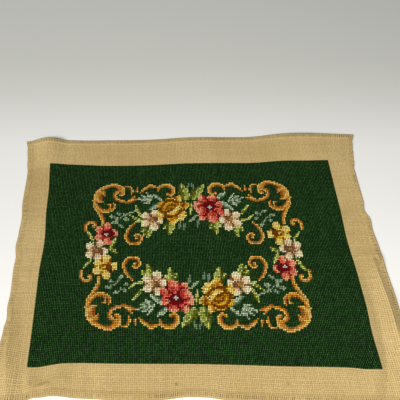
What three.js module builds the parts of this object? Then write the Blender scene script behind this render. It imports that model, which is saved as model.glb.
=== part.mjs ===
// Needlepoint canvas panel.
// A hemmed rectangle of double-thread cotton canvas whose middle is filled with wool tent stitch, lying
// loose on a table. The slanted stitches have pulled it a little out of square, its edges ripple,
// its right border has rolled up beside the hem and its front corners are turned up.

import * as THREE from "three";

// Sizes in millimetres. A mesh is one crossing of the canvas threads, which takes one stitch.
const MESH = 2.54;
const FIELD = { columns: 195, rows: 133 };
const BORDER = { left: 16, right: 18, front: 17, back: 22 };
const CANVAS_THICK = 1.2;
const FIELD_THICK = 2.6;
const HEM = { width: 8, thick: 2.4 };

// The run over which the thickness changes, and the grid's spacing on the border, on the margin of the
// field that the folds run into and on the rest of the field.
const STEP_RUN = 1;
const BORDER_STEP = 5;
const MARGIN_STEP = 8;
const FIELD_STEP = 24;
const FIELD_MARGIN = 40;

const WIDTH = (BORDER.left + FIELD.columns + BORDER.right) * MESH;
const DEPTH = (BORDER.front + FIELD.rows + BORDER.back) * MESH;

// Where the corners lie on the table before the edges swing.
const CORNER = {
  frontLeft: { x: -274.5, y: -210.5 },
  frontRight: { x: 308, y: -222.5 },
  backLeft: { x: -305, y: 213.5 },
  backRight: { x: 277, y: 223.5 },
};

// How far each edge swings out of the straight line between its corners.
// at is the share of the edge from its left or front end, out is away from the middle.
const SWING = {
  front: [
    { at: 0, out: 17 },
    { at: 0.05, out: 10.7 },
    { at: 0.1, out: 2 },
    { at: 0.14, out: -0.5 },
    { at: 0.2, out: 2 },
    { at: 0.3, out: 3.4 },
    { at: 0.38, out: 2.4 },
    { at: 0.46, out: -2 },
    { at: 0.49, out: -1.8 },
    { at: 0.55, out: 1 },
    { at: 0.7, out: 1.5 },
    { at: 1, out: 1 },
  ],
  back: [
    { at: 0, out: -4 },
    { at: 0.06, out: -1.5 },
    { at: 0.2, out: -4 },
    { at: 0.35, out: -4.5 },
    { at: 0.5, out: -3 },
    { at: 0.66, out: -1.5 },
    { at: 0.78, out: 2.5 },
    { at: 0.88, out: 1 },
    { at: 1, out: 2 },
  ],
  left: [
    { at: 0, out: 10.5 },
    { at: 0.12, out: 3.5 },
    { at: 0.2, out: -0.7 },
    { at: 0.24, out: -3.3 },
    { at: 0.28, out: -1.4 },
    { at: 0.33, out: -2.6 },
    { at: 0.42, out: -1.5 },
    { at: 0.46, out: -2.4 },
    { at: 0.51, out: 1 },
    { at: 0.56, out: -0.7 },
    { at: 0.62, out: -2.6 },
    { at: 0.7, out: 0 },
    { at: 0.84, out: -1.2 },
    { at: 0.89, out: 1.9 },
    { at: 0.96, out: 5.5 },
    { at: 1, out: 9 },
  ],
  right: [
    { at: 0, out: 3 },
    { at: 0.3, out: 2.4 },
    { at: 0.43, out: 0.3 },
    { at: 0.5, out: -0.3 },
    { at: 0.57, out: -2.4 },
    { at: 0.61, out: -1 },
    { at: 0.65, out: -6.6 },
    { at: 0.69, out: -4 },
    { at: 0.83, out: -3.6 },
    { at: 0.87, out: 0.2 },
    { at: 0.92, out: 3.6 },
    { at: 0.96, out: 7 },
    { at: 1, out: 13 },
  ],
};

// Where the stitches pull the canvas aside.
// across and along run from the left and from the front edge, shiftX and shiftY fade out over the reach.
const PULLS = [
  { name: "field's front left corner", across: 44, along: 44, reach: 48, shiftX: 0, shiftY: -5.8 },
  { name: "front edge beside that corner", across: 64, along: 44, reach: 60, shiftX: 0, shiftY: -1.8 },
  { name: "field's front right corner", across: 525, along: 44, reach: 40, shiftX: 0, shiftY: -2.2 },
  { name: "middle of the front edge", across: 290, along: 43, reach: 150, shiftX: 0, shiftY: 1.3 },
  { name: "field's back left corner", across: 42, along: 378, reach: 60, shiftX: -2, shiftY: 2 },
  { name: "back edge beside that corner", across: 90, along: 383, reach: 60, shiftX: 0, shiftY: 2 },
  { name: "middle of the back edge", across: 300, along: 383, reach: 140, shiftX: 0, shiftY: 2.4 },
  { name: "field's back right corner", across: 540, along: 383, reach: 60, shiftX: 0, shiftY: 1.5 },
  { name: "left edge", across: 40, along: 232, reach: 60, shiftX: 3, shiftY: 0 },
  { name: "right edge", across: 536, along: 235, reach: 60, shiftX: -2, shiftY: 0 },
];

// The folds, each a ridge through its stations, with a round or a sharp crest.
// high is the crest's lift off the table, left and right are the distances from the crest to where the
// canvas lies flat again, on either hand of someone who goes from the first station to the last.
const FOLDS = [
  {
    name: "ripple at the back left",
    crest: "round",
    stations: [
      { across: 34, along: DEPTH, high: 9, left: 34, right: 34 },
      { across: 44, along: DEPTH - 95, high: 0, left: 34, right: 34 },
    ],
  },
  {
    name: "ripple at the back middle",
    crest: "round",
    stations: [
      { across: 300, along: DEPTH, high: 2, left: 80, right: 80 },
      { across: 300, along: DEPTH - 90, high: 0, left: 80, right: 80 },
    ],
  },
  {
    name: "ripple at the back right",
    crest: "round",
    stations: [
      { across: 500, along: DEPTH, high: 7, left: 95, right: 95 },
      { across: 470, along: DEPTH - 110, high: 0, left: 95, right: 95 },
    ],
  },
  {
    name: "swell along the field's right edge",
    crest: "round",
    stations: [
      { across: WIDTH - 48, along: 200, high: 0, left: 14, right: 30 },
      { across: WIDTH - 47, along: 150, high: 2.5, left: 13, right: 30 },
      { across: WIDTH - 50, along: 100, high: 3, left: 15, right: 30 },
      { across: WIDTH - 59, along: 60, high: 6, left: 14, right: 30 },
      { across: WIDTH - 61, along: 40, high: 7, left: 13, right: 30 },
      { across: WIDTH - 63, along: 0, high: 4, left: 15, right: 30 },
    ],
  },
  {
    name: "rise on the front border",
    crest: "round",
    stations: [
      { across: 94, along: 42, high: 1, left: 22, right: 16 },
      { across: 80, along: 14, high: 4, left: 22, right: 16 },
      { across: 70, along: 0, high: 4, left: 22, right: 16 },
    ],
  },
  {
    name: "wrinkle on the left border",
    crest: "round",
    stations: [
      { across: 31, along: 226, high: 0, left: 10, right: 12 },
      { across: 21, along: 168, high: 2, left: 10, right: 12 },
    ],
  },
  {
    name: "pucker across the right border",
    crest: "sharp",
    stations: [
      { across: WIDTH - 40, along: 202, high: 0.5, left: 7, right: 24 },
      { across: WIDTH - 24, along: 208, high: 3.5, left: 8, right: 26 },
      { across: WIDTH - 8, along: 204, high: 4, left: 8, right: 26 },
    ],
  },
  {
    name: "roll beside the right hem and the front right corner",
    crest: "sharp",
    stations: [
      { across: WIDTH - 15, along: 196, high: 5, left: 14, right: 20 },
      { across: WIDTH - 15, along: 140, high: 11, left: 14, right: 20 },
      { across: WIDTH - 15, along: 100, high: 14, left: 15, right: 20 },
      { across: WIDTH - 14, along: 70, high: 13.5, left: 16, right: 27 },
      { across: WIDTH - 13, along: 40, high: 12, left: 18, right: 34 },
      { across: WIDTH - 16, along: 0, high: 9, left: 20, right: 46 },
    ],
  },
  {
    name: "roll beside the left hem and the front left corner",
    crest: "sharp",
    stations: [
      { across: 3, along: 124, high: 0.5, left: 16, right: 14 },
      { across: 10, along: 80, high: 5, left: 24, right: 16 },
      { across: 16, along: 42, high: 7, left: 28, right: 18 },
      { across: 26, along: 0, high: 4, left: 34, right: 22 },
    ],
  },
  {
    name: "crease from the field's front left corner",
    crest: "sharp",
    stations: [
      { across: 46, along: 46, high: 1, left: 20, right: 18 },
      { across: 48, along: 18, high: 4, left: 20, right: 20 },
    ],
  },
  {
    name: "crease across the front left corner",
    crest: "sharp",
    stations: [
      { across: 38, along: 11, high: 0.5, left: 8, right: 14 },
      { across: 72, along: 14, high: 2.5, left: 8, right: 14 },
    ],
  },
];

// A table's value at a share of the edge, easing from row to row.
function tableValue(table, share) {
  let next = table.findIndex((row) => row.at >= share);
  next = Math.max(next, 1);
  const low = table[next - 1];
  const high = table[next];
  const ease = THREE.MathUtils.smoothstep(share, low.at, high.at);
  return THREE.MathUtils.lerp(low.out, high.out, ease);
}

// How much of an edge's swing is left on its border, from all at the edge to none at the field.
function nearEdge(distance, meshes) {
  return THREE.MathUtils.smoothstep(1 - distance / (meshes * MESH), 0, 1);
}

// The place on the table of a point of the canvas: the four corners blended, then the four edges' swings
// and the pulls.
function placeOnTable(across, along) {
  const s = across / WIDTH;
  const t = along / DEPTH;
  const blend = (axis) => {
    const front = THREE.MathUtils.lerp(CORNER.frontLeft[axis], CORNER.frontRight[axis], s);
    const back = THREE.MathUtils.lerp(CORNER.backLeft[axis], CORNER.backRight[axis], s);
    return THREE.MathUtils.lerp(front, back, t);
  };
  const place = { x: blend("x"), y: blend("y") };
  place.x += nearEdge(WIDTH - across, BORDER.right) * tableValue(SWING.right, t);
  place.x -= nearEdge(across, BORDER.left) * tableValue(SWING.left, t);
  place.y += t * tableValue(SWING.back, s);
  place.y -= nearEdge(along, BORDER.front) * tableValue(SWING.front, s);
  for (const pull of PULLS) {
    const away = Math.hypot(across - pull.across, along - pull.along);
    const share = roundCrest(Math.min(away / pull.reach, 1));
    place.x += pull.shiftX * share;
    place.y += pull.shiftY * share;
  }
  return place;
}

// The two profiles of a fold, from 1 at the crest to 0 where the canvas lies flat.
function roundCrest(share) {
  return Math.cos((share * Math.PI) / 2) ** 2;
}

function sharpCrest(share) {
  return 1 - Math.sin((share * Math.PI) / 2);
}

// The lift of one stretch of a fold at a point, between two stations.
function stretchLift(point, start, end, profile) {
  const crest = new THREE.Line3(
    new THREE.Vector3(start.across, start.along, 0),
    new THREE.Vector3(end.across, end.along, 0),
  );
  const share = crest.closestPointToPointParameter(point, true);
  const away = point.clone().sub(crest.at(share, new THREE.Vector3()));
  const heading = crest.delta(new THREE.Vector3()).normalize();
  const leftward = heading.cross(away.clone().normalize()).z;
  const between = (column) => THREE.MathUtils.lerp(start[column], end[column], share);
  const reach = THREE.MathUtils.lerp(between("right"), between("left"), (1 + leftward) / 2);
  return between("high") * profile(Math.min(away.length() / reach, 1));
}

// The lift of the canvas off the table: the highest of the folds that reach the point.
function lift(across, along) {
  const point = new THREE.Vector3(across, along, 0);
  let highest = 0;
  for (const fold of FOLDS) {
    const profile = fold.crest === "sharp" ? sharpCrest : roundCrest;
    for (let i = 1; i < fold.stations.length; i++) {
      highest = Math.max(highest, stretchLift(point, fold.stations[i - 1], fold.stations[i], profile));
    }
  }
  return highest;
}

// The thickness: bare canvas, the folded hem round the outside and the wool-covered field.
function thickness(across, along) {
  const toEdge = Math.min(across, WIDTH - across, along, DEPTH - along);
  const intoField = Math.min(
    across - BORDER.left * MESH,
    WIDTH - BORDER.right * MESH - across,
    along - BORDER.front * MESH,
    DEPTH - BORDER.back * MESH - along,
  );
  const hemShare = 1 - THREE.MathUtils.clamp((toEdge - HEM.width) / STEP_RUN, 0, 1);
  const fieldShare = THREE.MathUtils.clamp(1 + intoField / STEP_RUN, 0, 1);
  return CANVAS_THICK + hemShare * (HEM.thick - CANVAS_THICK) + fieldShare * (FIELD_THICK - CANVAS_THICK);
}

// The grid lines of one direction: hem, border, field with its margins, border, hem.
function gridLines(lowBorder, field, highBorder) {
  const length = (lowBorder + field + highBorder) * MESH;
  const fieldLow = lowBorder * MESH;
  const fieldHigh = length - highBorder * MESH;
  const stretches = [
    { end: HEM.width, step: BORDER_STEP },
    { end: HEM.width + STEP_RUN, step: BORDER_STEP },
    { end: fieldLow - STEP_RUN, step: BORDER_STEP },
    { end: fieldLow, step: BORDER_STEP },
    { end: fieldLow + FIELD_MARGIN, step: MARGIN_STEP },
    { end: fieldHigh - FIELD_MARGIN, step: FIELD_STEP },
    { end: fieldHigh, step: MARGIN_STEP },
    { end: fieldHigh + STEP_RUN, step: BORDER_STEP },
    { end: length - HEM.width - STEP_RUN, step: BORDER_STEP },
    { end: length - HEM.width, step: BORDER_STEP },
    { end: length, step: BORDER_STEP },
  ];
  const lines = [0];
  for (const stretch of stretches) {
    const start = lines[lines.length - 1];
    const count = Math.max(1, Math.round((stretch.end - start) / stretch.step));
    for (let i = 1; i <= count; i++) {
      lines.push(THREE.MathUtils.lerp(start, stretch.end, i / count));
    }
  }
  return lines;
}

// The panel as one sheet: a flat slab on the grid, laid out on the table and lifted along its folds.
function makePanel() {
  const columns = gridLines(BORDER.left, FIELD.columns, BORDER.right);
  const rows = gridLines(BORDER.front, FIELD.rows, BORDER.back);
  const sheet = new THREE.BoxGeometry(1, 1, 1, columns.length - 1, rows.length - 1, 1);
  const position = sheet.getAttribute("position");
  for (let i = 0; i < position.count; i++) {
    const across = columns[Math.round((position.getX(i) + 0.5) * (columns.length - 1))];
    const along = rows[Math.round((position.getY(i) + 0.5) * (rows.length - 1))];
    const place = placeOnTable(across, along);
    const over = position.getZ(i) > 0 ? thickness(across, along) : 0;
    position.setXYZ(i, place.x, place.y, lift(across, along) + over);
  }
  sheet.computeBoundingBox();
  const middle = sheet.boundingBox.getCenter(new THREE.Vector3());
  sheet.translate(-middle.x, -middle.y, -sheet.boundingBox.min.z);
  sheet.computeVertexNormals();
  return sheet;
}

const canvas = new THREE.MeshStandardMaterial({ color: 0xc2a56b, roughness: 0.92, metalness: 0 });
const panel = new THREE.Mesh(makePanel(), canvas);
panel.name = "canvas_panel";

const group = new THREE.Group();
group.name = "needlepoint_canvas_panel";
group.add(panel);

export default group;
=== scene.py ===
import math

import bpy
import numpy as np
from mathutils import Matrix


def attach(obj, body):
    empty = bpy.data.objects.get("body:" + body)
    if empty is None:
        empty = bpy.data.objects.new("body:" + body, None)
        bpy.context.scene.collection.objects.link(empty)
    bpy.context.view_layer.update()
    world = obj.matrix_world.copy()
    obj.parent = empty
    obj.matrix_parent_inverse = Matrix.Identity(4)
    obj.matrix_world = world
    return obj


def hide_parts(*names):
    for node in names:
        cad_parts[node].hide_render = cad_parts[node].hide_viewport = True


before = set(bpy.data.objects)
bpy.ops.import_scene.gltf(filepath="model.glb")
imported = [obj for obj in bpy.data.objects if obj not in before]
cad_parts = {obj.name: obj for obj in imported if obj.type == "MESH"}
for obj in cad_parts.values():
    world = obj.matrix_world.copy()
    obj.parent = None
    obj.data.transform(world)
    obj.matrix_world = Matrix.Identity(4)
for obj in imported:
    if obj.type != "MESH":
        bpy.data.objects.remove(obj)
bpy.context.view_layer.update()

# The view: a camera held over the near side of the table, looking down at the whole panel.
# Its frame cuts the two front corners off, as a close snapshot does.
CAMERA_PLACE, CAMERA_TILT = (0.0065, -0.2315, 0.604), 28
bpy.ops.object.select_all(action="DESELECT")
bpy.ops.object.camera_add(location=CAMERA_PLACE, rotation=(math.radians(CAMERA_TILT), 0, 0))
camera = bpy.context.object
camera.data.sensor_width = 36
camera.data.lens = 36
bpy.context.scene.camera = camera

# The table: one broad pale painted surface, smooth, with painted shade that makes it a little darker behind
# the panel.
# Soft light falls on it from the ceiling and from a window on the left.
bpy.context.scene.view_settings.view_transform = "Standard"
TABLE_SIZE = 6
TABLE_NEAR, TABLE_MID, TABLE_FAR = (228, 227, 223), (212, 212, 206), (206, 207, 200)
# Painted shade along the table, darker behind the panel: place towards the back, colour
TABLE_PAINTED_SHADE = [(0.2, TABLE_NEAR), (0.33, TABLE_MID), (0.42, TABLE_FAR), (0.65, TABLE_MID)]
bpy.ops.mesh.primitive_plane_add(size=TABLE_SIZE)
table = bpy.context.object
table.name = "table"


def new_material(name, roughness, sheen):
    """A finish: the material, its shader and the coordinates that it is drawn on."""
    material = bpy.data.materials.new(name)
    material.use_nodes = True
    nodes = material.node_tree.nodes
    shader = nodes["Principled BSDF"]
    shader.inputs["Roughness"].default_value = roughness
    shader.inputs["Specular IOR Level"].default_value = 0.2
    shader.inputs["Sheen Weight"].default_value = sheen
    shader.inputs["Sheen Roughness"].default_value = 0.5
    place = nodes.new("ShaderNodeTexCoord").outputs["Object"]
    return material, shader, place


def noise(material, place, scale, detail=3.0):
    """Grain in a finish: the scale is about the number of grains in a metre."""
    grain = material.node_tree.nodes.new("ShaderNodeTexNoise")
    grain.inputs["Scale"].default_value = scale
    grain.inputs["Detail"].default_value = detail
    material.node_tree.links.new(place, grain.inputs["Vector"])
    return grain.outputs["Fac"]


def ramp(material, value, stops):
    """Colours, given as they show on a screen from 0 to 255, at their places along a value."""
    blend = material.node_tree.nodes.new("ShaderNodeValToRGB")
    while len(blend.color_ramp.elements) < len(stops):
        blend.color_ramp.elements.new(0.5)
    for element, (at, colour) in zip(blend.color_ramp.elements, stops):
        element.position = at
        element.color = (*to_linear(colour), 1)
    material.node_tree.links.new(value, blend.inputs["Fac"])
    return blend.outputs["Color"]


def to_linear(colour):
    """The light that a colour of the screen stands for."""
    share = np.array(colour) / 255
    return np.where(share <= 0.04045, share / 12.92, ((share + 0.055) / 1.055) ** 2.4)


table_paint_and_shade, shader, place = new_material("table_paint_and_shade", 0.55, 0)
# The table's pale paint with painted shade, darker towards the back
depth = table_paint_and_shade.node_tree.nodes.new("ShaderNodeSeparateXYZ")
table_paint_and_shade.node_tree.links.new(place, depth.inputs["Vector"])
shade = ramp(table_paint_and_shade, depth.outputs["Y"], TABLE_PAINTED_SHADE)
table_paint_and_shade.node_tree.links.new(shade, shader.inputs["Base Color"])
table.data.materials.append(table_paint_and_shade)

bpy.ops.object.light_add(type="AREA", location=(0.2, -0.6, 0.9))
ceiling_light = bpy.context.object
ceiling_light.name = "ceiling_light"
ceiling_light.data.shape = "RECTANGLE"
ceiling_light.data.size = 1.2
ceiling_light.data.size_y = 0.35
ceiling_light.data.energy = 11.5
ceiling_light.data.color = (1.0, 0.98, 0.95)
ceiling_light.rotation_euler = (math.radians(24), 0, 0)

bpy.ops.object.light_add(type="AREA", location=(-2.2, -1.4, 1.7))
window_light = bpy.context.object
window_light.name = "window_light"
window_light.data.shape = "DISK"
window_light.data.size = 1.0
window_light.data.energy = 62
window_light.data.color = (1.0, 0.99, 0.97)
window_light.rotation_euler = (math.radians(57), 0, math.radians(-57.5))

room = bpy.data.worlds.new("room")
room.use_nodes = True
room.node_tree.nodes["Background"].inputs["Color"].default_value = (0.95, 0.97, 1.0, 1)
room.node_tree.nodes["Background"].inputs["Strength"].default_value = 0.25
bpy.context.scene.world = room

# The canvas: one rectangle of double-thread cotton canvas, ten meshes to the inch, hemmed all round.
# The slanted stitches have pulled it out of square, and it lies loose with its edges rippled,
# its right border rolled up beside the hem and its front corners turned up.
MESH = 0.00254
FIELD_COLUMNS, FIELD_ROWS = 195, 133
LEFT, RIGHT, FRONT, BACK = 16, 18, 17, 22
COLUMNS, ROWS = LEFT + FIELD_COLUMNS + RIGHT, FRONT + FIELD_ROWS + BACK
WIDTH, DEPTH = COLUMNS * MESH, ROWS * MESH
HEM_WIDTH, HEM_TURN = 0.008, 0.0007
# The middle of the cloth over the table, and how much the hem raises it. That step starts a little
# past the hem's turned part and has a width of its own.
CLOTH_MIDDLE, HEM_RAISE = 0.0009, 0.0009
STEP_PAST, STEP_WIDTH = 0.002, 0.003
# The thin sheet that closes the gaps between the threads and stitches, and its depth in the cloth.
# Its colour is painted shade: tan-brown in the holes of the bare border, dark green in the gaps between the
# stitches.
SHEET_THICK, SHEET_DEPTH = 0.0003, -0.0003
FRONT_LEFT, FRONT_RIGHT = (-0.273, -0.2095), (0.3095, -0.2215)
BACK_LEFT, BACK_RIGHT = (-0.3035, 0.2145), (0.2785, 0.2245)

# How far each edge swings out of the straight, in mm: share of the edge, swing
FRONT_SWING = [
    (0, 17), (0.05, 10.7), (0.1, 2), (0.14, -0.5), (0.2, 2), (0.3, 3.4), (0.38, 2.4), (0.46, -2),
    (0.49, -1.8), (0.55, 1), (0.7, 1.5), (1, 1),
]
BACK_SWING = [
    (0, -4), (0.06, -1.5), (0.2, -4), (0.35, -4.5), (0.5, -3), (0.66, -1.5), (0.78, 2.5), (0.88, 1), (1, 2),
]
LEFT_SWING = [
    (0, 10.5), (0.12, 3.5), (0.2, -0.7), (0.24, -3.3), (0.28, -1.4), (0.33, -2.6), (0.42, -1.5),
    (0.46, -2.4), (0.51, 1), (0.56, -0.7), (0.62, -2.6), (0.7, 0), (0.84, -1.2), (0.89, 1.9), (0.96, 5.5),
    (1, 9),
]
RIGHT_SWING = [
    (0, 3), (0.3, 2.4), (0.43, 0.3), (0.5, -0.3), (0.57, -2.4), (0.61, -1), (0.65, -6.6), (0.69, -4),
    (0.83, -3.6), (0.87, 0.2), (0.92, 3.6), (0.96, 7), (1, 13),
]

# Where the stitches pull the canvas aside, in mm: across, along, reach, shift across, shift along
PULLS = [
    (44, 44, 48, 0, -5.8),
    (64, 44, 60, 0, -1.8),
    (525, 44, 40, 0, -2.2),
    (300, 383, 140, 0, 2.4),
    (540, 383, 60, 0, 1.5),
    (42, 378, 60, -2, 2),
    (90, 383, 60, 0, 2),
    (40, 232, 60, 3, 0),
    (536, 235, 60, -2, 0),
    (290, 43, 150, 0, 1.3),
    (536, 80, 55, -3, 0),
]

# The folds, in mm from the left and front edges, each a ridge through its stations: across, along,
# height and the reach from the crest to the flat on the left and on the right of the line.
WIDE, DEEP = WIDTH * 1000, DEPTH * 1000
ROUND_FOLDS = [
    [(34, DEEP, 9, 34, 34), (44, DEEP - 95, 0, 34, 34)],
    [(300, DEEP, 2, 80, 80), (300, DEEP - 90, 0, 80, 80)],
    [(500, DEEP, 7, 95, 95), (470, DEEP - 110, 0, 95, 95)],
    [(WIDE - 48, 200, 0, 14, 30), (WIDE - 47, 150, 2, 14, 26), (WIDE - 46, 100, 4.5, 18, 19),
     (WIDE - 47, 73, 6.5, 20, 16), (WIDE - 54, 49, 7, 20, 15), (WIDE - 65, 17, 5, 20, 14),
     (WIDE - 71, 0, 3.5, 20, 14)],
    [(90, 40, 1.5, 26, 14), (84, 22, 4.5, 30, 13), (76, 0, 4, 26, 16)],
    [(31, 226, 0, 10, 12), (21, 168, 2, 10, 12)],
]
SHARP_FOLDS = [
    [(WIDE - 44, 202, 0.4, 10, 22), (WIDE - 32, 206, 1.3, 11, 24), (WIDE - 20, 207, 2, 11, 26),
     (WIDE - 6, 204, 2.6, 12, 26)],
    [(WIDE - 15, 206, 2, 14, 20), (WIDE - 15, 140, 11, 14, 20), (WIDE - 15, 100, 14, 15, 20),
     (WIDE - 14, 70, 13.5, 16, 27), (WIDE - 13, 40, 12, 18, 34), (WIDE - 16, 0, 9, 20, 46)],
    [(3, 124, 0.5, 16, 14), (10, 80, 5, 24, 16), (16, 42, 7, 28, 18), (26, 0, 4, 34, 22)],
    [(45, 46, 1, 22, 18), (47, 18, 5, 24, 20)],
    [(36, 13, 0.5, 7, 14), (66, 16, 4, 7, 14), (76, 18, 2, 7, 14)],
]


def swing(rows, share):
    """An edge's swing at shares of its length, eased from each row of its table to the next."""
    at = np.array([row[0] for row in rows])
    out = np.array([row[1] for row in rows]) / 1000
    share = np.clip(share, 0, 1)
    k = np.clip(np.searchsorted(at, share, side="right") - 1, 0, len(at) - 2)
    part = (share - at[k]) / (at[k + 1] - at[k])
    part = part * part * (3 - 2 * part)
    return out[k] * (1 - part) + out[k + 1] * part


def near(away, meshes):
    """How much of an edge's swing is left on its border, from all at the edge to none at the field."""
    share = np.clip(1 - away / (meshes * MESH), 0, 1)
    return share * share * (3 - 2 * share)


def on_table(across, along):
    """The place on the table of points of the canvas, in metres from its left and front edges."""
    s, t = across / WIDTH, along / DEPTH
    x, y = (
        (1 - s) * (1 - t) * FRONT_LEFT[k] + s * (1 - t) * FRONT_RIGHT[k]
        + (1 - s) * t * BACK_LEFT[k] + s * t * BACK_RIGHT[k]
        for k in (0, 1)
    )
    x = x + near(WIDTH - across, RIGHT) * swing(RIGHT_SWING, t) - near(across, LEFT) * swing(LEFT_SWING, t)
    y = y + t * swing(BACK_SWING, s) - near(along, FRONT) * swing(FRONT_SWING, s)
    for pull_across, pull_along, reach, shift_across, shift_along in np.array(PULLS) / 1000:
        away = np.hypot(across - pull_across, along - pull_along)
        share = (1 + np.cos(np.pi * np.minimum(away / reach, 1))) / 2
        x, y = x + shift_across * share, y + shift_along * share
    return x, y


def lift(across, along):
    """How far the folds lift the canvas off the table."""
    highest = np.zeros_like(across)
    for fold in ROUND_FOLDS + SHARP_FOLDS:
        for start, end in zip(np.array(fold[:-1]) / 1000, np.array(fold[1:]) / 1000):
            dx, dy = end[:2] - start[:2]
            right_of, behind = across - start[0], along - start[1]
            share = np.clip((right_of * dx + behind * dy) / (dx * dx + dy * dy), 0, 1)
            away = np.hypot(right_of - share * dx, behind - share * dy)
            side = (dx * behind - dy * right_of) / (math.hypot(dx, dy) * (away + 1e-9))
            high, left, right = (start[k] + (end[k] - start[k]) * share for k in (2, 3, 4))
            reach = (left * (1 + side) + right * (1 - side)) / 2
            out = np.pi / 2 * np.minimum(away / reach, 1)
            slope = 1 - np.sin(out) if fold in SHARP_FOLDS else np.cos(out) ** 2
            highest = np.maximum(highest, high * slope)
    return highest


def turn_under(place, length):
    """For a place along the unfolded canvas: where it comes to lie, its drop round the hem's fold
    and the way its face points there, outwards and upwards."""
    past = np.maximum(np.maximum(-place, place - length), 0)
    side = np.where(place < 0, -1.0, 1.0)
    angle = np.minimum(past / HEM_TURN, np.pi)
    out = HEM_TURN * np.sin(angle) - np.maximum(past - np.pi * HEM_TURN, 0)
    drop = HEM_TURN * (1 - np.cos(angle))
    return np.clip(place, 0, length) + side * out, drop, side * np.sin(angle), np.cos(angle)


def lay(across, along, over):
    """Points of the lying canvas: over is the height above the middle of the cloth."""
    a, drop_a, face_a, up_a = turn_under(across, WIDTH)
    b, drop_b, face_b, up_b = turn_under(along, DEPTH)
    a, b = a + over * face_a, b + over * face_b
    to_edge = np.minimum(np.minimum(a, WIDTH - a), np.minimum(b, DEPTH - b))
    doubled = np.clip((HEM_WIDTH + STEP_PAST - to_edge) / STEP_WIDTH, 0, 1)
    middle = CLOTH_MIDDLE + HEM_RAISE * doubled * doubled * (3 - 2 * doubled)
    x, y = on_table(a, b)
    z = lift(np.clip(a, 0, WIDTH), np.clip(b, 0, DEPTH)) + middle
    z = z - np.maximum(drop_a, drop_b) + over * np.minimum(up_a, up_b)
    return np.stack([x, y, z], -1)


MAP_MARGIN = 0.012


def dress(mesh, across, along):
    """The map of a piece's faces on the flat canvas."""
    share_across = (across + MAP_MARGIN) / (WIDTH + 2 * MAP_MARGIN)
    share_along = (along + MAP_MARGIN) / (DEPTH + 2 * MAP_MARGIN)
    flat = np.stack([share_across, share_along], -1)
    corner = np.empty(len(mesh.loops), np.int32)
    mesh.loops.foreach_get("vertex_index", corner)
    spread = mesh.uv_layers.new(name="OFBake")
    spread.data.foreach_set("uv", flat[corner].astype(np.float32).ravel())


# Lines of the sheet: under the hem, past its fold; round that fold; and beside the field, in meshes
HEM_LINES, FOLD_LINES, FIELD_EDGE = (0.0075, 0.004), 7, 0.05
# Meshes from each edge that are creased, and the step between the lines elsewhere
CREASED_LEFT, CREASED_RIGHT, CREASED_FRONT, CREASED_BACK = 44, 44, 56, BACK
COARSE_STEP = 3
# How far outside the field a point still counts as under the stitches, in meshes
FIELD_MARGIN = 0.02


def grid_lines(low_border, low_fine, field, high_fine, high_border):
    """The lines of the canvas sheet in one direction: under the hem, round its fold, at every mesh
    where it is creased and at every third between."""
    fold_round = np.pi * HEM_TURN
    under = [-fold_round - line for line in HEM_LINES]
    hem = np.concatenate([under, np.linspace(-fold_round, 0, FOLD_LINES)[:-1]])
    meshes = low_border + field + high_border
    fine = np.concatenate([np.arange(low_fine), np.arange(meshes - high_fine, meshes + 1)])
    wide = np.arange(low_fine, meshes - high_fine, COARSE_STEP)
    sharp = np.array([low_border - FIELD_EDGE, meshes - high_border + FIELD_EDGE])
    return np.sort(np.concatenate([hem, np.concatenate([fine, wide, sharp]) * MESH, meshes * MESH - hem]))


across_lines = grid_lines(LEFT, CREASED_LEFT, FIELD_COLUMNS, CREASED_RIGHT, RIGHT)
along_lines = grid_lines(FRONT, CREASED_FRONT, FIELD_ROWS, CREASED_BACK, BACK)
bpy.ops.object.select_all(action="DESELECT")
bpy.ops.mesh.primitive_grid_add(
    x_subdivisions=len(across_lines) - 1, y_subdivisions=len(along_lines) - 1, size=1, calc_uvs=False
)
canvas = bpy.context.object
canvas.name = "canvas"
flat_place = np.empty(len(canvas.data.vertices) * 3, np.float32)
canvas.data.vertices.foreach_get("co", flat_place)
flat_place = flat_place.reshape(-1, 3)
canvas_across = across_lines[np.rint((flat_place[:, 0] + 0.5) * (len(across_lines) - 1)).astype(int)]
canvas_along = along_lines[np.rint((flat_place[:, 1] + 0.5) * (len(along_lines) - 1)).astype(int)]
lying = lay(canvas_across, canvas_along, np.full_like(canvas_across, SHEET_DEPTH))
canvas.data.vertices.foreach_set("co", lying.astype(np.float32).ravel())
dress(canvas.data, canvas_across, canvas_along)


def on_field(across, along):
    """Whether points of the canvas lie under the stitches."""
    left, right, front, back = ((border - FIELD_MARGIN) * MESH for border in (LEFT, RIGHT, FRONT, BACK))
    return (across > left) & (across < WIDTH - right) & (along > front) & (along < DEPTH - back)


in_field = on_field(canvas_across, canvas_along)
worked_part = canvas.data.attributes.new("worked", "FLOAT", "POINT")
worked_part.data.foreach_set("value", in_field.astype(np.float32))
bpy.ops.object.shade_smooth()
thickness = canvas.modifiers.new("thickness", "SOLIDIFY")
thickness.thickness = SHEET_THICK
thickness.offset = 0
bpy.ops.object.modifier_apply(modifier="thickness")


def multiply(material, colour, by):
    """One colour darkened by another."""
    mix = material.node_tree.nodes.new("ShaderNodeMix")
    mix.data_type = "RGBA"
    mix.blend_type = "MULTIPLY"
    mix.inputs["Factor"].default_value = 1
    material.node_tree.links.new(colour, mix.inputs["A"])
    material.node_tree.links.new(by, mix.inputs["B"])
    return mix.outputs["Result"]


def bump(material, shader, height, distance, strength):
    """Relief on a finish from its grain."""
    relief = material.node_tree.nodes.new("ShaderNodeBump")
    relief.inputs["Distance"].default_value = distance
    relief.inputs["Strength"].default_value = strength
    material.node_tree.links.new(height, relief.inputs["Height"])
    material.node_tree.links.new(relief.outputs["Normal"], shader.inputs["Normal"])


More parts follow.
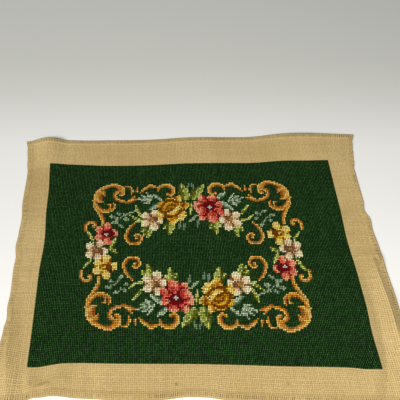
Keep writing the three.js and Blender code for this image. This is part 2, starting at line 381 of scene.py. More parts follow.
# Wool and unbleached canvas hardly shine
DULL = 0.04
# The sheet's finish is painted shade, the shadow seen down the holes of the canvas and between the stitches
gap_shade_cloth, shader, place = new_material("canvas_gap_shade", 0.95, 0)
shader.inputs["Specular IOR Level"].default_value = DULL
# Painted shadow in the holes of the bare border, a dark tan-brown
tan = ramp(gap_shade_cloth, noise(gap_shade_cloth, place, 14), [(0.3, (128, 102, 57)), (0.7, (142, 116, 68))])
# Painted shade in the gaps between the stitches, a very dark green
painted_gap_shade = ramp(gap_shade_cloth, noise(gap_shade_cloth, place, 500), [(0.3, (8, 15, 7)), (0.7, (14, 25, 12))])
under_wool = gap_shade_cloth.node_tree.nodes.new("ShaderNodeAttribute")
under_wool.attribute_name = "worked"
cloth_mix = gap_shade_cloth.node_tree.nodes.new("ShaderNodeMix")
cloth_mix.data_type = "RGBA"
gap_shade_cloth.node_tree.links.new(under_wool.outputs["Fac"], cloth_mix.inputs["Factor"])
gap_shade_cloth.node_tree.links.new(tan, cloth_mix.inputs["A"])
gap_shade_cloth.node_tree.links.new(painted_gap_shade, cloth_mix.inputs["B"])
gap_shade_cloth.node_tree.links.new(cloth_mix.outputs["Result"], shader.inputs["Base Color"])
bump(gap_shade_cloth, shader, noise(gap_shade_cloth, place, 900), 0.0003, 0.6)
canvas.data.materials.append(gap_shade_cloth)
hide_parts("canvas_panel")
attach(canvas, "root")

# The canvas threads: cotton warp and weft in close pairs, woven over and under each other.
# They show on the bare border, go round the fold of the hem and end under the stitches.
THREAD_HALF, THREAD_HIGH, THREAD_LOW, THREAD_SWING = 0.00036, 0.00034, -0.00008, 0.00017
PAIR_HALF = 0.16
# How the threads differ in width, place and tone, and how deep they lie under the stitches
THREAD_UNEVEN, THREAD_WANDER, THREAD_TONE = 0.12, 0.00005, 0.05
THREAD_SUNK = -0.0004
# Two brown flecks on the front border: across, along, radius, depth of tone
STAINS = [(0.248, 0.017, 0.0022, 0.6), (0.402, 0.022, 0.0018, 0.35)]


def join_mesh(name, points, faces, corners_each):
    """One mesh from its points and its lists of faces, each list with its own number of corners."""
    mesh = bpy.data.meshes.new(name)
    mesh.vertices.add(len(points))
    mesh.vertices.foreach_set("co", points.astype(np.float32).ravel())
    corners = np.concatenate([f.ravel() for f in faces])
    totals = np.concatenate([np.full(len(f), n) for f, n in zip(faces, corners_each)])
    mesh.loops.add(len(corners))
    mesh.loops.foreach_set("vertex_index", corners.astype(np.int32))
    mesh.polygons.add(len(totals))
    starts = np.concatenate([[0], np.cumsum(totals)[:-1]])
    mesh.polygons.foreach_set("loop_start", starts.astype(np.int32))
    mesh.polygons.foreach_set("use_smooth", np.ones(len(totals), bool))
    mesh.update(calc_edges=True)
    piece = bpy.data.objects.new(name, mesh)
    bpy.context.collection.objects.link(piece)
    return piece


def shade_attribute(piece, name, colours):
    """Colours of a piece's points, for its material to read."""
    layer = piece.data.color_attributes.new(name, "FLOAT_COLOR", "POINT")
    rgba = np.concatenate([colours, np.ones((len(colours), 1))], 1)
    layer.data.foreach_set("color", rgba.astype(np.float32).ravel())


def thread_net(name, first_column, last_column, first_row, last_row, seed):
    """The threads of one stretch of the border, from mesh to mesh."""
    draw = np.random.default_rng(seed)
    columns = np.arange(first_column, last_column)
    rows = np.arange(first_row, last_row)
    offsets = np.array([-PAIR_HALF, PAIR_HALF])
    warp = (columns[:, None] + 0.5 + offsets).ravel()
    weft = (rows[:, None] + 0.5 + offsets).ravel()
    warp_number = (2 * columns[:, None] + [0, 1]).ravel()
    weft_number = (2 * rows[:, None] + [0, 1]).ravel()
    parts = []
    for own, other, number, other_number, upright in (
        (warp, weft, warp_number, weft_number, True),
        (weft, warp, weft_number, warp_number, False),
    ):
        over = np.where((number[:, None] + other_number) % 2 == upright, 1.0, -1.0)
        wide = THREAD_HALF * (1 + THREAD_UNEVEN * draw.standard_normal((len(own), 1)))
        wander = THREAD_WANDER * draw.standard_normal((len(own), len(other)))
        lead = own[:, None] * MESH + wander
        run = np.broadcast_to(other * MESH, lead.shape)
        side = np.stack([lead - wide, lead, lead + wide], -1)
        high = over[..., None] * THREAD_SWING + np.array([THREAD_LOW, THREAD_HIGH, THREAD_LOW])
        run = np.broadcast_to(run[..., None], side.shape)
        across, along = (side, run) if upright else (run, side)
        tone = np.broadcast_to(draw.normal(1, THREAD_TONE, (len(own), 1, 1)), side.shape)
        count = len(own) * len(other) * 3
        index = np.arange(count).reshape(len(own), len(other), 3)
        quads = [index[:, :-1, :-1], index[:, :-1, 1:], index[:, 1:, 1:], index[:, 1:, :-1]]
        quads = np.stack(quads, -1).reshape(-1, 4)
        if not upright:
            quads = quads[:, ::-1]
        parts.append((across.ravel(), along.ravel(), high.ravel(), tone.ravel(), quads))
    across, along, high, tone = (np.concatenate([part[k] for part in parts]) for k in range(4))
    high = np.where(on_field(across, along), THREAD_SUNK, high)
    for stain_across, stain_along, radius, depth in STAINS:
        away = np.hypot(across - stain_across, along - stain_along) / radius
        tone = tone * (1 - depth * np.exp(-away * away))
    quads = np.concatenate([parts[0][4], parts[1][4] + len(parts[0][0])])
    net = join_mesh(name, lay(across, along, high), [quads], [4])
    dress(net.data, across, along)
    shade_attribute(net, "twist", np.repeat(tone[:, None], 3, 1))
    return net


cotton, shader, place = new_material("canvas_cotton", 0.75, 0.25)
tan = ramp(cotton, noise(cotton, place, 9), [(0.3, (200, 175, 117)), (0.7, (215, 191, 135))])
slubs = ramp(cotton, noise(cotton, place, 700), [(0.3, (205, 200, 190)), (0.7, (255, 255, 255))])
tan = multiply(cotton, tan, slubs)
strand = cotton.node_tree.nodes.new("ShaderNodeAttribute")
strand.attribute_name = "twist"
tan = multiply(cotton, tan, strand.outputs["Color"])
cotton.node_tree.links.new(tan, shader.inputs["Base Color"])
bump(cotton, shader, noise(cotton, place, 2600), 0.0002, 0.5)
weave = [
    thread_net("weave_front", -1, COLUMNS + 1, -1, FRONT + 1, 1),
    thread_net("weave_back", -1, COLUMNS + 1, ROWS - BACK - 1, ROWS + 1, 2),
    thread_net("weave_left", -1, LEFT + 1, FRONT, ROWS - BACK, 3),
    thread_net("weave_right", COLUMNS - RIGHT - 1, COLUMNS + 1, FRONT, ROWS - BACK, 4),
]
for net in weave:
    net.data.materials.append(cotton)
    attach(net, "root")

# The hem stitches: brown sewing thread whipped over the turned edge, one stitch in every mesh.
# It has sunk between the canvas threads and shows darker in some stretches than in others.
HEM_FROM, HEM_TO, HEM_THREAD_HALF = 0.0012, 0.0068, 0.00042
HEM_THREAD_HIGH, HEM_THREAD_LOW = 0.00062, 0.0002
# Stretches of darker and lighter thread along an edge, and how far single stitches differ from them
HEM_STRETCHES, HEM_UNEVEN = 24, 0.25
hem_draw = np.random.default_rng(5)
hem_rows = []
for length, other, upright in ((WIDTH, DEPTH, True), (DEPTH, WIDTH, False)):
    for far_side in (False, True):
        holes = np.arange(2, round(length / MESH) - 1) * MESH
        stretches = np.linspace(0, length, HEM_STRETCHES)
        shade_here = np.interp(holes, stretches, hem_draw.random(HEM_STRETCHES))
        shade_here = shade_here + HEM_UNEVEN * hem_draw.standard_normal(len(holes))
        outer, inner = (other - HEM_FROM, other - HEM_TO) if far_side else (HEM_FROM, HEM_TO)
        hem_rows.append((holes, outer, inner, shade_here, upright))
# One stitch: share of its length, side in half widths, height
HEM_STITCH = np.array([
    (0, 0, HEM_THREAD_LOW),
    (0.15, -1, HEM_THREAD_LOW), (0.15, 0, HEM_THREAD_HIGH), (0.15, 1, HEM_THREAD_LOW),
    (0.85, -1, HEM_THREAD_LOW), (0.85, 0, HEM_THREAD_HIGH), (0.85, 1, HEM_THREAD_LOW),
    (1, 0, HEM_THREAD_LOW),
])
HEM_STITCH_SIDES = np.array([(1, 2, 5, 4), (2, 3, 6, 5)])
HEM_STITCH_TIPS = np.array([(0, 2, 1), (0, 3, 2), (7, 4, 5), (7, 5, 6)])
hem_points, hem_shades, hem_quads, hem_tips, hem_places = [], [], [], [], []
first = 0
for holes, outer, inner, shade_here, upright in hem_rows:
    beside = holes[:, None] + HEM_STITCH[:, 1] * HEM_THREAD_HALF
    reach_in = np.broadcast_to(outer + (inner - outer) * HEM_STITCH[:, 0], beside.shape)
    across, along = (beside, reach_in) if upright else (reach_in, beside)
    high = np.broadcast_to(HEM_STITCH[:, 2], beside.shape)
    hem_points.append(lay(across.ravel(), along.ravel(), high.ravel()))
    hem_places.append((across.ravel(), along.ravel()))
    hem_shades.append(np.repeat(np.clip(shade_here, 0, 1), len(HEM_STITCH)))
    turned = upright == (inner > outer)
    base = first + np.arange(len(holes))[:, None, None] * len(HEM_STITCH)
    hem_quads.append((base + HEM_STITCH_SIDES[:, :: 1 if turned else -1]).reshape(-1, 4))
    hem_tips.append((base + HEM_STITCH_TIPS[:, :: 1 if turned else -1]).reshape(-1, 3))
    first += beside.size
hem_faces = [np.concatenate(hem_tips), np.concatenate(hem_quads)]
hem_stitches = join_mesh("hem_stitches", np.concatenate(hem_points), hem_faces, [3, 4])
dress(hem_stitches.data, *(np.concatenate([place[k] for place in hem_places]) for k in (0, 1)))
shade_attribute(hem_stitches, "twist", np.repeat(np.concatenate(hem_shades)[:, None], 3, 1))
hem_cotton, shader, place = new_material("hem_cotton", 0.85, 0.1)
strand = hem_cotton.node_tree.nodes.new("ShaderNodeAttribute")
strand.attribute_name = "twist"
brown = ramp(hem_cotton, strand.outputs["Fac"], [(0.2, (184, 156, 100)), (0.85, (104, 76, 42))])
fluff = ramp(hem_cotton, noise(hem_cotton, place, 900), [(0.3, (200, 195, 190)), (0.7, (255, 255, 255))])
brown = multiply(hem_cotton, brown, fluff)
hem_cotton.node_tree.links.new(brown, shader.inputs["Base Color"])
bump(hem_cotton, shader, noise(hem_cotton, place, 2400), 0.0002, 0.5)
hem_stitches.data.materials.append(hem_cotton)
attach(hem_stitches, "root")

# The red flowers: tapestry wool in tent stitch, each stitch slanting over one crossing of the canvas.
# Two open blooms of eight petals lie in the wreath and two small ones of five at its sides.
RED_DYES = [(112, 14, 22), (188, 54, 46), (230, 108, 80), (250, 170, 130), (206, 208, 194)]
col, row = np.meshgrid(
    np.arange(FIELD_COLUMNS) - FIELD_COLUMNS // 2, np.arange(FIELD_ROWS) - FIELD_ROWS // 2 - 1
)
worked = np.zeros((FIELD_ROWS, FIELD_COLUMNS), bool)
stitch_draw = np.random.default_rng(11)
uneven = stitch_draw.random((FIELD_ROWS, FIELD_COLUMNS))
# How far columns and rows differ in tone, and single stitches in place, fullness and tone
STREAK, SLIP, PLUMP, DYE_UNEVEN = 0.05, 0.03, 0.06, 0.07
streak = stitch_draw.normal(1, STREAK, FIELD_COLUMNS) * stitch_draw.normal(1, STREAK, (FIELD_ROWS, 1))
# One stitch: its slant and its side from the middle, in meshes, and along it the share of the slant,
# the share of the side and the height in meshes
STITCH_SLANT, STITCH_SIDE = (0.24, 0.6), (-0.36, 0.08)
STITCH_RINGS = [(-0.5, 0.72, 0.34), (0.0, 1.0, 0.46), (0.5, 0.72, 0.34)]
STITCH_END_HIGH, STITCH_SIDE_HIGH = -0.1, 0.04
STITCH = np.array(
    [(-1, 0, STITCH_END_HIGH)]
    + [(at, side * half, STITCH_SIDE_HIGH if side else high)
       for at, half, high in STITCH_RINGS for side in (1, 0, -1)]
    + [(1, 0, STITCH_END_HIGH)]
)
STITCH_TIPS = np.array([(0, 2, 1), (0, 3, 2), (10, 7, 8), (10, 8, 9)])
STITCH_SIDES = np.array([(1, 2, 5, 4), (2, 3, 6, 5), (4, 5, 8, 7), (5, 6, 9, 8)])
# How full the wool is, and the share of its colour that is left down in the gaps between the stitches, the
# rest taken away there as painted shade
LIGHT_WOOL, DARK_WOOL = (1.32, 0.85), (0.84, 0.1)
# How much darker than the gaps the ends are painted, as shade down in the holes
HOLE_SHADE = 3

# A flower: its throat in meshes, how ragged a petal is, how much lighter it gets from its middle to its
# rim, how far its stitches differ in tone, and the light from one tone to the next
THROAT, RAGGED, RIM_LIGHT, TONE_MIX, TONE_STEP = 2.6, 0.3, 0.85, 0.8, 0.6
# The dark seam along a petal's sides: out from its middle, beside its middle line and short of its rim
SEAM_OUT, SEAM_BESIDE, SEAM_END = 0.62, 0.5, 0.55
# The edge of a heart or an eye: the least of it, and how ragged it is
SPOT_EDGE, SPOT_RAGGED = 0.75, 0.5
# How far the half-turned shapes stand off, in meshes
ASKEW_RIGHT, ASKEW_BACK = -3, 3


def flower(centre, petals, lightness, lit_from, heart, eye):
    """Tones of a flower, petal over petal: 0 at each petal's root to 3 at its rim, 4 for the eye.
    A petal is its turn, distance from the middle, half length and half width; the heart and the
    eye are a shift to the right and the back, a half width and a half depth."""
    tones = np.where(np.hypot(col - centre[0], row - centre[1]) < THROAT, 0, -1)
    for turn, distance, half_length, half_width in petals:
        way = math.radians(turn)
        dx = col - centre[0] - distance * math.cos(way)
        dy = row - centre[1] - distance * math.sin(way)
        outward = (dx * math.cos(way) + dy * math.sin(way)) / half_length
        beside = (dy * math.cos(way) - dx * math.sin(way)) / half_width
        from_middle = outward ** 2 + beside ** 2 + RAGGED * (uneven - 0.5)
        light = lightness + RIM_LIGHT * outward + TONE_MIX * (uneven - 0.5)
        light = light + (lit_from[0] * dx + lit_from[1] * dy) / max(half_length, half_width)
        seam = (from_middle > SEAM_OUT) & (np.abs(beside) > SEAM_BESIDE) & (outward < SEAM_END)
        tone = np.select([light > TONE_STEP, light > 0, light > -TONE_STEP], [3, 2, 1], 0)
        tones = np.where(from_middle < 1, np.where(seam, np.maximum(tone - 2, 0), tone), tones)
    for tone, (right, back, half_width, half_depth) in ((0, heart), (4, eye)):
        dx, dy = col - centre[0] - right, row - centre[1] - back
        spot = (dx / half_width) ** 2 + (dy / half_depth) ** 2
        tones[spot < SPOT_EDGE + SPOT_RAGGED * uneven] = tone
    return tones


def half_turned(tones, right=ASKEW_RIGHT):
    """The same shapes again, turned half round: the wreath lies a little askew in the field."""
    return np.maximum(tones, np.roll(tones[::-1, ::-1], (ASKEW_BACK, right), (0, 1)))


def work(name, tones, dyes, wool_kind=LIGHT_WOOL):
    """A piece of wool stitches over the meshes that have a tone and hold no stitch yet."""
    full, in_gaps = wool_kind
    here = (tones >= 0) & ~worked
    worked[here] = True
    rows, columns = np.nonzero(here)
    count = len(rows)
    shift = stitch_draw.normal(0, SLIP, (count, 2))
    plump = full * (1 + stitch_draw.normal(0, PLUMP, (count, 1)))
    across, along = (STITCH[:, 0] * STITCH_SLANT[k] + STITCH[:, 1] * plump * STITCH_SIDE[k] for k in (0, 1))
    across = (LEFT + columns[:, None] + 0.5 + shift[:, :1] + across) * MESH
    along = (FRONT + rows[:, None] + 0.5 + shift[:, 1:] + along) * MESH
    high = STITCH[:, 2] * plump * MESH
    points = lay(across.ravel(), along.ravel(), high.ravel())
    first = np.arange(count)[:, None, None] * len(STITCH)
    faces = [(first + STITCH_TIPS).reshape(-1, 3), (first + STITCH_SIDES).reshape(-1, 4)]
    piece = join_mesh(name, points, faces, [3, 4])
    dress(piece.data, across.ravel(), along.ravel())
    dye_and_shade = to_linear(np.array(dyes))[tones[rows, columns]]
    dye_and_shade = dye_and_shade * streak[rows, columns][:, None] * stitch_draw.normal(1, DYE_UNEVEN, (count, 1))
    # Painted shade: a stitch's sides are darker down in the gaps, and its ends darker still down in the
    # holes
    gap_shade = np.where(STITCH[:, 1] == 0, 1.0, in_gaps)
    gap_shade[[0, -1]] = in_gaps / HOLE_SHADE
    dye_and_shade = dye_and_shade[:, None, :] * gap_shade[:, None]
    shade_attribute(piece, "dye_and_shade", np.clip(dye_and_shade, 0, 1).reshape(-1, 3))
    wool, shader, place = new_material(name + "_wool", 0.95, 0)
    shader.inputs["Specular IOR Level"].default_value = DULL
    # The wool's dye with its painted shade in the gaps and holes
    dye_and_shade_reader = wool.node_tree.nodes.new("ShaderNodeAttribute")
    dye_and_shade_reader.attribute_name = "dye_and_shade"
    fibres = ramp(wool, noise(wool, place, 1400, 2), [(0.25, (210, 210, 210)), (0.75, (255, 255, 255))])
    wool.node_tree.links.new(multiply(wool, dye_and_shade_reader.outputs["Color"], fibres), shader.inputs["Base Color"])
    bump(wool, shader, noise(wool, place, 2200, 2), 0.0004, 0.5)
    piece.data.materials.append(wool)
    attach(piece, "root")
    return piece


# Petals: turn, distance, half length, half width
OPEN_BLOOM = [
    (16, 5.0, 4.2, 4.2), (-30, 6.4, 4.4, 3.4), (74, 5.6, 3.6, 4.0), (128, 6.6, 4.2, 3.2),
    (-128, 7.2, 4.0, 3.2), (-78, 6.8, 4.6, 4.2), (172, 6.8, 4.4, 4.0), (205, 5.6, 4.2, 4.2),
]
SIDE_BLOOM = [
    (6, 4.8, 3.1, 2.9), (84, 5.0, 3.0, 3.1), (-80, 4.8, 3.2, 2.9), (208, 4.8, 3.1, 3.0),
    (148, 4.8, 3.1, 2.8),
]
# The lighter side of a petal, to the right and to the back
FROM_LEFT, FROM_FAR_LEFT = (-0.5, 0.1), (-0.75, 0.15)
# Flowers: middle column and row, petals, lightness, lighter side, heart, eye
RED_FLOWERS = [
    ((11, 31), OPEN_BLOOM, 0.2, FROM_FAR_LEFT, (1.4, 1.0, 2.6, 3.4), (0, 0, 1.3, 1.3)),
    ((-57, 12.2), SIDE_BLOOM, 0.55, FROM_LEFT, (2.8, 0.2, 2.5, 2.2), (0, -0.4, 1.2, 1.1)),
]
red = np.maximum.reduce([flower(*bloom) for bloom in RED_FLOWERS])
stitched = [work("red_flowers", half_turned(red), RED_DYES)]

# The yellow roses: full cabbage roses in wool with petals wrapped round one another, and two small
# open flowers at the sides, shaded from brown gold to cream.
YELLOW_DYES = [(126, 72, 8), (188, 128, 20), (228, 178, 44), (252, 226, 128), (236, 206, 100)]
# Steps from one station of a band to the next, and how far past its width it takes a mesh in
BAND_STEPS, BAND_EASE = 14, 0.1


def brush(stations):
    """A band along a smooth line through stations of column, row and width: the meshes that it
    covers, and how far each one is to the left of the line, in half widths."""
    line = np.array([stations[0], *stations, stations[-1]], float)
    t = np.linspace(0, 1, BAND_STEPS)[:, None]
    steps = [
        0.5 * (2 * start + (end - before) * t + (2 * before - 5 * start + 4 * end - after) * t ** 2
               + (3 * start - before - 3 * end + after) * t ** 3)
        for before, start, end, after in zip(line, line[1:], line[2:], line[3:])
    ]
    band = np.concatenate(steps)
    heading = np.gradient(band[:, :2], axis=0)
    heading = heading / (np.hypot(heading[:, 0], heading[:, 1])[:, None] + 1e-9)
    dx, dy = col[..., None] - band[:, 0], row[..., None] - band[:, 1]
    left = heading[:, 0] * dy - heading[:, 1] * dx
    away = np.hypot(dx, dy)
    nearest = away.argmin(-1)
    half = band[nearest, 2] / 2
    left = np.take_along_axis(left, nearest[..., None], -1)[..., 0]
    return away.min(-1) < half + BAND_EASE, left / half


CABBAGE_ROSE = [
    (18, 8.2, 4.4, 3.0), (58, 7.6, 4.4, 3.0), (204, 6.6, 4.2, 3.8), (-84, 6.6, 4.2, 3.8),
    (-36, 6.4, 4.6, 4.6), (150, 4.6, 4.8, 4.6), (96, 4.8, 4.0, 4.8), (20, 3.0, 4.6, 4.6),
    (-70, 2.6, 4.4, 6.0),
]
FROM_RIGHT = (0.4, -0.4)
# The rose's heart and eye are hardly more than a stitch each
ROSE = ((-14.6, 29.6), CABBAGE_ROSE, -0.2, FROM_RIGHT, (-1.2, 1.7, 0.5, 0.5), (2.2, -0.6, 0.4, 0.4))
YELLOW_SIDE_FLOWER = ((-57, -10.6), SIDE_BLOOM, 0.95, FROM_LEFT, (2.4, 0.2, 2.2, 2.0), (0, 0, 1.1, 1.0))
# The edges of the wrapped petals, dark and light: tone, then column, row and width along the line
ROSE_EDGES = [
    (1, [(-18.6, 30.4, 4), (-16, 33, 5.5), (-12.4, 32.6, 4)]),
    (0, [(-21, 29.4, 0.9), (-20.4, 33.2, 1.3), (-16.8, 36.4, 1.5), (-12.4, 36.4, 1.2), (-9.8, 34.4, 0.9)]),
    (2, [(-19.2, 31, 0.8), (-17.6, 33.8, 1.1), (-14.4, 35, 1.0)]),
    (0, [(-17.6, 30, 0.8), (-16.8, 32.2, 1.1), (-14.2, 33.4, 1.2), (-11.8, 32.2, 1.0)]),
    (0, [(-16.4, 28.8, 0.8), (-13.8, 30, 1.1), (-11.6, 30.4, 0.8)]),
    (3, [(-17, 27.2, 1.0), (-13.8, 27.6, 1.8), (-11, 29.6, 1.8), (-9.4, 32.2, 1.2)]),
    (0, [(-18.6, 25.2, 0.8), (-15.4, 24.6, 1.5), (-10.8, 26, 1.5), (-7.6, 29.6, 1.2)]),
    (3, [(-13, 20.2, 1.0), (-9.4, 22.8, 1.4), (-6.8, 26.8, 1.3), (-3.4, 31.6, 1.0)]),
    (1, [(-15, 22.6, 1.6), (-10.6, 23.8, 1.4)]),
    (1, [(-8, 32.6, 1.8), (-4.6, 33.4, 1.4)]),
    (0, [(-7.4, 31.6, 0.9), (-5.6, 34, 0.8)]),
    (3, [(-9.6, 39.4, 1.0), (-7.8, 36.6, 1.6)]),
    (3, [(-23.6, 27.6, 1.4), (-21, 25.4, 1.6)]),
]
yellow = flower(*ROSE)
for tone, stations in ROSE_EDGES:
    yellow[brush(stations)[0] & (yellow >= 0)] = tone
yellow = np.maximum(yellow, flower(*YELLOW_SIDE_FLOWER))
stitched.append(work("yellow_roses", half_turned(yellow), YELLOW_DYES))

# The pale flowers: wool flowers of five round petals, from brown pink to cream round a gold eye.
# Four stand in the wreath beside the roses and the red blooms, and one at each of its sides.
PALE_DYES = [(134, 88, 56), (200, 156, 118), (246, 216, 166), (255, 244, 198), (186, 140, 50)]
PALE_BLOOM = [
    (-6, 4.2, 2.8, 2.8), (72, 5.0, 3.0, 2.7), (146, 5.0, 3.2, 2.9), (208, 4.9, 3.2, 2.9),
    (-76, 4.8, 3.2, 3.2),
]
MIRRORED_BLOOM = [(180 - turn, *size) for turn, *size in PALE_BLOOM]
PALE_FLOWERS = [
    ((-27.2, 22.4), PALE_BLOOM, 0.55, FROM_LEFT, (2.2, 0.4, 1.6, 1.8), (-0.6, 0.2, 1.3, 1.5)),
    ((23.4, 22), MIRRORED_BLOOM, 0.6, FROM_LEFT, (-1.8, 0.4, 1.2, 1.6), (0.6, 0, 1.3, 1.6)),
    ((-62.4, 0.4), PALE_BLOOM, 0.55, FROM_LEFT, (2.4, -0.4, 1.8, 1.6), (0, 0.4, 0.9, 1.2)),
]
pale = np.maximum.reduce([flower(*bloom) for bloom in PALE_FLOWERS])
stitched.append(work("pale_flowers", half_turned(pale), PALE_DYES))

# The green leaves: toothed wool leaves and stems, light on one side of the rib and dark on the other.
# They are worked after the flowers, so that they lie behind them.
LEAF_DYES = [(70, 78, 16), (110, 118, 34), (164, 174, 76), (212, 220, 128)]
# A leaf's outline: how near its base it is widest, how full it is, how deep its teeth are, and its
# least half width
LEAF_BELLY, LEAF_FULL, TOOTH_DEEP, LEAF_LEAST = 0.75, 0.7, 0.25, 0.35
# Its rib: half width, and the share of stitches that it misses
RIB_HALF, RIB_GAPS = 0.5, 0.3
# Its tones from the light side to the dark one, in half widths, and how they mix
LEAF_LIGHT, LEAF_MID, LEAF_DARK, LEAF_MIX = 0.75, 0.1, -0.65, 0.5


def leaf(base, tip, half_width, teeth):
    """Tones of a leaf from its base to its tip, light on the left of the middle rib and dark on the
    right, or the other way round where the half width is given as negative."""
    dx, dy = tip[0] - base[0], tip[1] - base[1]
    length = math.hypot(dx, dy)
    share = ((col - base[0]) * dx + (row - base[1]) * dy) / length ** 2
    beside = ((row - base[1]) * dx - (col - base[0]) * dy) / length
    inside = np.clip(share, 0, 1)
    swell = np.sin(np.pi * inside ** LEAF_BELLY) ** LEAF_FULL
    edge = abs(half_width) * swell * (1 - TOOTH_DEEP * ((inside * teeth) % 1)) + LEAF_LEAST
    side = beside / edge * np.sign(half_width) + LEAF_MIX * (uneven - 0.5)
    rib = (np.abs(beside) < RIB_HALF) & (uneven > RIB_GAPS)
    tones = np.select([rib | (side > LEAF_LIGHT), side > LEAF_MID, side > LEAF_DARK], [3, 2, 1], 0)
    within = (share >= 0) & (share <= 1) & (np.abs(beside) < edge)
    return np.where(within, tones, -1)


# Base column and row, tip column and row, half width, teeth
LEAVES = [
    (-4.4, 36, -7.4, 49, -3.9, 4), (0.4, 36.6, 6.2, 40.2, 0.9, 1), (-1.4, 37.4, 8, 48, -3.3, 3),
    (-1, 35, -2.2, 26, 1.0, 2),
    (-15.5, 20.5, -16.5, 11.5, 2.4, 3), (-15.8, 20, -20.5, 15.5, 1.6, 2), (-15, 20, -13, 15, 1.4, 1),
    (-28.5, 17.5, -31, 9.5, 2.1, 2), (-30, 17, -35.5, 13.5, 1.8, 2), (-30.5, 16.5, -33.5, 10.5, 1.6, 1),
    (12.6, 20.5, 14.5, 11.8, 2.2, 3), (12, 20, 9.8, 15.5, 1.4, 1), (14, 20, 17, 16.5, 1.4, 1),
    (25, 17, 28, 9.6, 2.1, 2), (26, 17, 31.8, 14, 1.8, 2),
    (-34.5, 25, -38.3, 33.4, 1.2, 1), (-34, 21.5, -42.5, 26, 1.0, 1), (-33, 21.2, -38.5, 20.8, 0.6, 1),
    (31.2, 25.5, 37, 32.6, 1.1, 1), (30.2, 21, 36.2, 21.8, 0.9, 1), (35.5, 21.5, 39.2, 25.2, 0.5, 1),
    (-70, 14.5, -64.5, 6, 0.9, 1), (-54, 3, -50.4, 9, 1.3, 1), (-55.5, 2.2, -49.6, -1.6, 1.7, 2),
    (-65.5, -5, -70.5, -11.5, 0.9, 1),
]
leaves = np.full(col.shape, -1)
for base_column, base_row, tip_column, tip_row, half_width, teeth in LEAVES:
    behind = leaf((base_column, base_row), (tip_column, tip_row), half_width, teeth)
    leaves = np.where(leaves >= 0, leaves, behind)
stitched.append(work("green_leaves", half_turned(leaves), LEAF_DYES))

# The grey sprays: slender leaves and fine sprigs in grey-green wool that fade into the ground.
# They reach out from behind the flowers into the field.
GREY_DYES = [(72, 100, 70), (122, 146, 112), (166, 184, 146), (200, 214, 178)]
GREY_TEETH, SPRIG_TEETH = 2, 1
# A sprig's half width beyond the one in its table, and the shares of its stitches that are below the
# light tone and in the dark one
SPRIG_HALF, SPRIG_MID, SPRIG_DARK = 0.15, 0.45, 0.1
# Base column and row, tip column and row, half width
GREY_LEAVES = [
    (-19.6, 36.2, -30, 29.4, 1.5), (-20.6, 36.6, -26, 41.6, 1.2), (18, 35, 26.8, 28.6, 1.5),
    (14.8, 36.2, 22.8, 41.8, 1.5), (24, 34.8, 28, 41.4, 0.9), (24.4, 34.6, 31.6, 39.8, 0.8),
    (24.6, 34.4, 34.6, 38, 0.9), (24.6, 34.2, 32.8, 34.8, 0.8), (24.2, 34, 29.6, 32.2, 0.6),
    (-28, 36.8, -30.8, 43.8, 0.8), (-28.2, 36.6, -34.2, 41.4, 0.8), (-28.4, 36.4, -36.6, 38.8, 0.9),
    (-28.2, 36, -33.6, 35, 0.8), (-27.6, 37.2, -27.4, 42, 0.6),
]
SPRIGS = [
    (-54, 19.8, -45, 26, 0.1), (-45, 26, -38, 29.4, 0.1), (-51, 27.4, -47.6, 26.4, 0.6),
    (-46.4, 27, -44.4, 24.8, 0.5), (-55, 25.4, -51.6, 24.4, 0.7), (-50.4, 24.6, -49.8, 21, 0.5),
    (-53, 20.6, -49.6, 20.2, 0.5), (-46, 23.6, -42.8, 22.2, 0.8), (-49, 19, -45.8, 16.8, 0.6),
    (43, 16.8, 47.4, 22.4, 0.5), (47.4, 22.4, 53.6, 25.2, 0.1), (40.8, 27.2, 42.4, 25.2, 0.5),
    (43.6, 26.4, 44.2, 24.2, 0.4), (44.8, 26.6, 48.8, 28.4, 0.6), (49.6, 25.4, 53, 23.8, 0.7),
    (39.8, 22.2, 42.8, 23.6, 0.7), (51, 20, 48.8, 21.6, 0.4),
]
# Slender leaves and twigs: tone, then column, row and width along the line
GREY_STROKES = [
    (2, [(-3, 21, 0.8), (-0.6, 22.6, 1.8), (1.4, 25.2, 1.2)]),
    (1, [(2.8, 22.4, 0.8), (2.6, 20, 1.8), (2, 17.4, 0.8)]),
    (1, [(-8.8, 21, 0.8), (-9.2, 18.6, 1.8), (-9.8, 16, 0.8)]),
    (1, [(-6.4, 19.4, 0.8), (-6.6, 17.4, 1.4), (-7, 15.4, 0.8)]),
    (1, [(-2.8, 45.4, 0.8), (-2.2, 48.6, 1.2)]),
    (1, [(0.8, 45, 0.8), (0.2, 49, 1.2)]),
]
grey = np.full(col.shape, -1)
for tone, stations in GREY_STROKES:
    grey = np.where(brush(stations)[0], tone, grey)
for base_column, base_row, tip_column, tip_row, half_width in GREY_LEAVES:
    behind = leaf((base_column, base_row), (tip_column, tip_row), half_width, GREY_TEETH)
    grey = np.where(grey >= 0, grey, behind)
for base_column, base_row, tip_column, tip_row, half_width in SPRIGS:
    sprig = leaf((base_column, base_row), (tip_column, tip_row), half_width + SPRIG_HALF, SPRIG_TEETH)
    mixed = np.select([uneven > SPRIG_MID, uneven > SPRIG_DARK], [2, 1], 0)
    grey = np.maximum(grey, np.where(sprig >= 0, mixed, -1))
stitched.append(work("grey_sprays", half_turned(grey), GREY_DYES))

# The scrolls: gold C-scrolls with leafy lobes that frame the wreath, alike in its four corners,
# each one a band that swells and thins, rust on the inner side and light gold on the outer.
SCROLL_DYES = [(168, 96, 28), (212, 148, 56), (240, 194, 100)]
# The tones across a band, in half widths to its outer side, and how they mix
SCROLL_LIGHT, SCROLL_MID, SCROLL_MIX = 0.3, -0.5, 0.5
# How far the mirrored scrolls and the half-turned ones stand off, in meshes
SCROLLS_MIRRORED, SCROLLS_TURNED = -1, -2
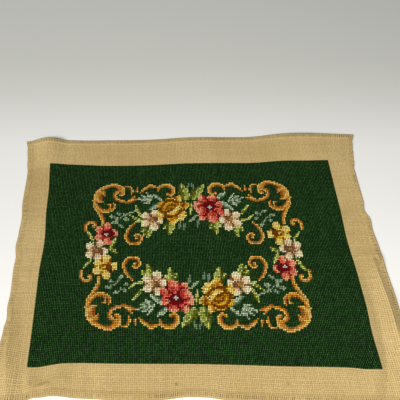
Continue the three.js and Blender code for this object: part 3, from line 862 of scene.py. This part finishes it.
# The line of each band through its stations: column, row, width
SCROLLS = [
    [(-65, 40.5, 3), (-63, 44.6, 3), (-58.6, 47.4, 2.4), (-54, 48.9, 2.6), (-50.2, 48.2, 3.2),
     (-47.6, 45.6, 4), (-47.2, 42.6, 3.4), (-48.6, 41.2, 1.4)],
    [(-59.2, 18.6, 2), (-59.8, 23, 2.5), (-61.4, 26.6, 2.5), (-63.6, 30, 2.3), (-65.2, 33.6, 2.6),
     (-65.4, 37.6, 3), (-64.6, 41, 3.4)],
    [(-59, 41.2, 0.9), (-60.2, 43.6, 3), (-62.4, 45.4, 3)],
    [(-59.2, 35.5, 0.8), (-61.4, 36.4, 2.2), (-63, 38.4, 4.2), (-63.2, 41.4, 4.6), (-62.8, 44, 3.6)],
    [(-53, 35.4, 0.9), (-52.2, 33.4, 1.5), (-52.6, 31.2, 2), (-55.4, 29.2, 2.2), (-59, 29, 2.6),
     (-62.2, 31, 2.2), (-64.2, 34, 1.6)],
    [(-56.8, 34.4, 0.8), (-55.3, 33.4, 1.4), (-55, 31.6, 1.5), (-56.5, 29.8, 1.6)],
    [(-49, 44.4, 2), (-51.4, 43.2, 2.4), (-52.2, 40.6, 2.2), (-50.6, 37.8, 2), (-47, 36.2, 1.8),
     (-43, 36, 2), (-40, 37.2, 2.6), (-37, 38.2, 1.2)],
    [(-39.2, 40, 0.9), (-41.5, 37.4, 1.6)],
    [(-44.8, 48, 1), (-42.2, 47.6, 1.4), (-40.9, 45, 1.8), (-41, 42.2, 0.9)],
    [(-36.8, 47.4, 0.9), (-37.3, 44.2, 1.6)],
    [(-34.8, 43.2, 0.9), (-33, 45, 1.7), (-30, 47, 2.2), (-28, 48.2, 2.4), (-25.5, 47.2, 1.8),
     (-23.2, 46.8, 1.2)],
    [(-23, 44.4, 1.2), (-22, 46.8, 2), (-19, 48.2, 2.2), (-15.6, 47.8, 2.6), (-13.2, 45.4, 2.6),
     (-12.8, 42.6, 2.6), (-14.4, 40.7, 2.2), (-16.4, 41.4, 1.6)],
    [(-37.6, 9.8, 2.2), (-38.2, 11, 1.5), (-36.8, 11.7, 1.8), (-35, 10.6, 1.8), (-34.6, 8.4, 1.8),
     (-36.4, 5.9, 1.8), (-39.8, 5.1, 1.9), (-42.9, 6.6, 2), (-44.2, 10, 2.1), (-43.6, 13.6, 1.9),
     (-41.6, 17.2, 1.6), (-38.8, 19.6, 1)],
    [(-66, 17.4, 1.6), (-64.5, 17.2, 1.6), (-64.3, 19.2, 1.8), (-66.4, 20.5, 1.9), (-69.2, 20, 1.9),
     (-70.6, 17.4, 1.8), (-70.6, 14, 1.2)],
]
scrolls = np.full(col.shape, -1)
for stations in SCROLLS:
    covered, outer = brush(stations)
    outer = outer + SCROLL_MIX * (uneven - 0.5)
    tone = np.select([outer > SCROLL_LIGHT, outer > SCROLL_MID], [2, 1], 0)
    scrolls = np.maximum(scrolls, np.where(covered, tone, -1))
scrolls = np.maximum(scrolls, np.roll(scrolls[:, ::-1], SCROLLS_MIRRORED, 1))
scrolls = half_turned(scrolls, SCROLLS_TURNED)
stitched.append(work("gold_scrolls", scrolls, SCROLL_DYES))

# The ground: dark green wool filled in last, over every mesh of the field that is still bare.
# Its left and right halves are two pieces.
GROUND_DYES = [(56, 100, 45), (68, 115, 56), (45, 84, 36)]
FIRST_THIRD, SECOND_THIRD = 0.34, 0.67
ground = np.where(uneven < FIRST_THIRD, 0, np.where(uneven < SECOND_THIRD, 1, 2))
left_half = np.where(col < 0, ground, -1)
stitched.append(work("green_ground_left", left_half, GROUND_DYES, DARK_WOOL))
stitched.append(work("green_ground_right", ground, GROUND_DYES, DARK_WOOL))
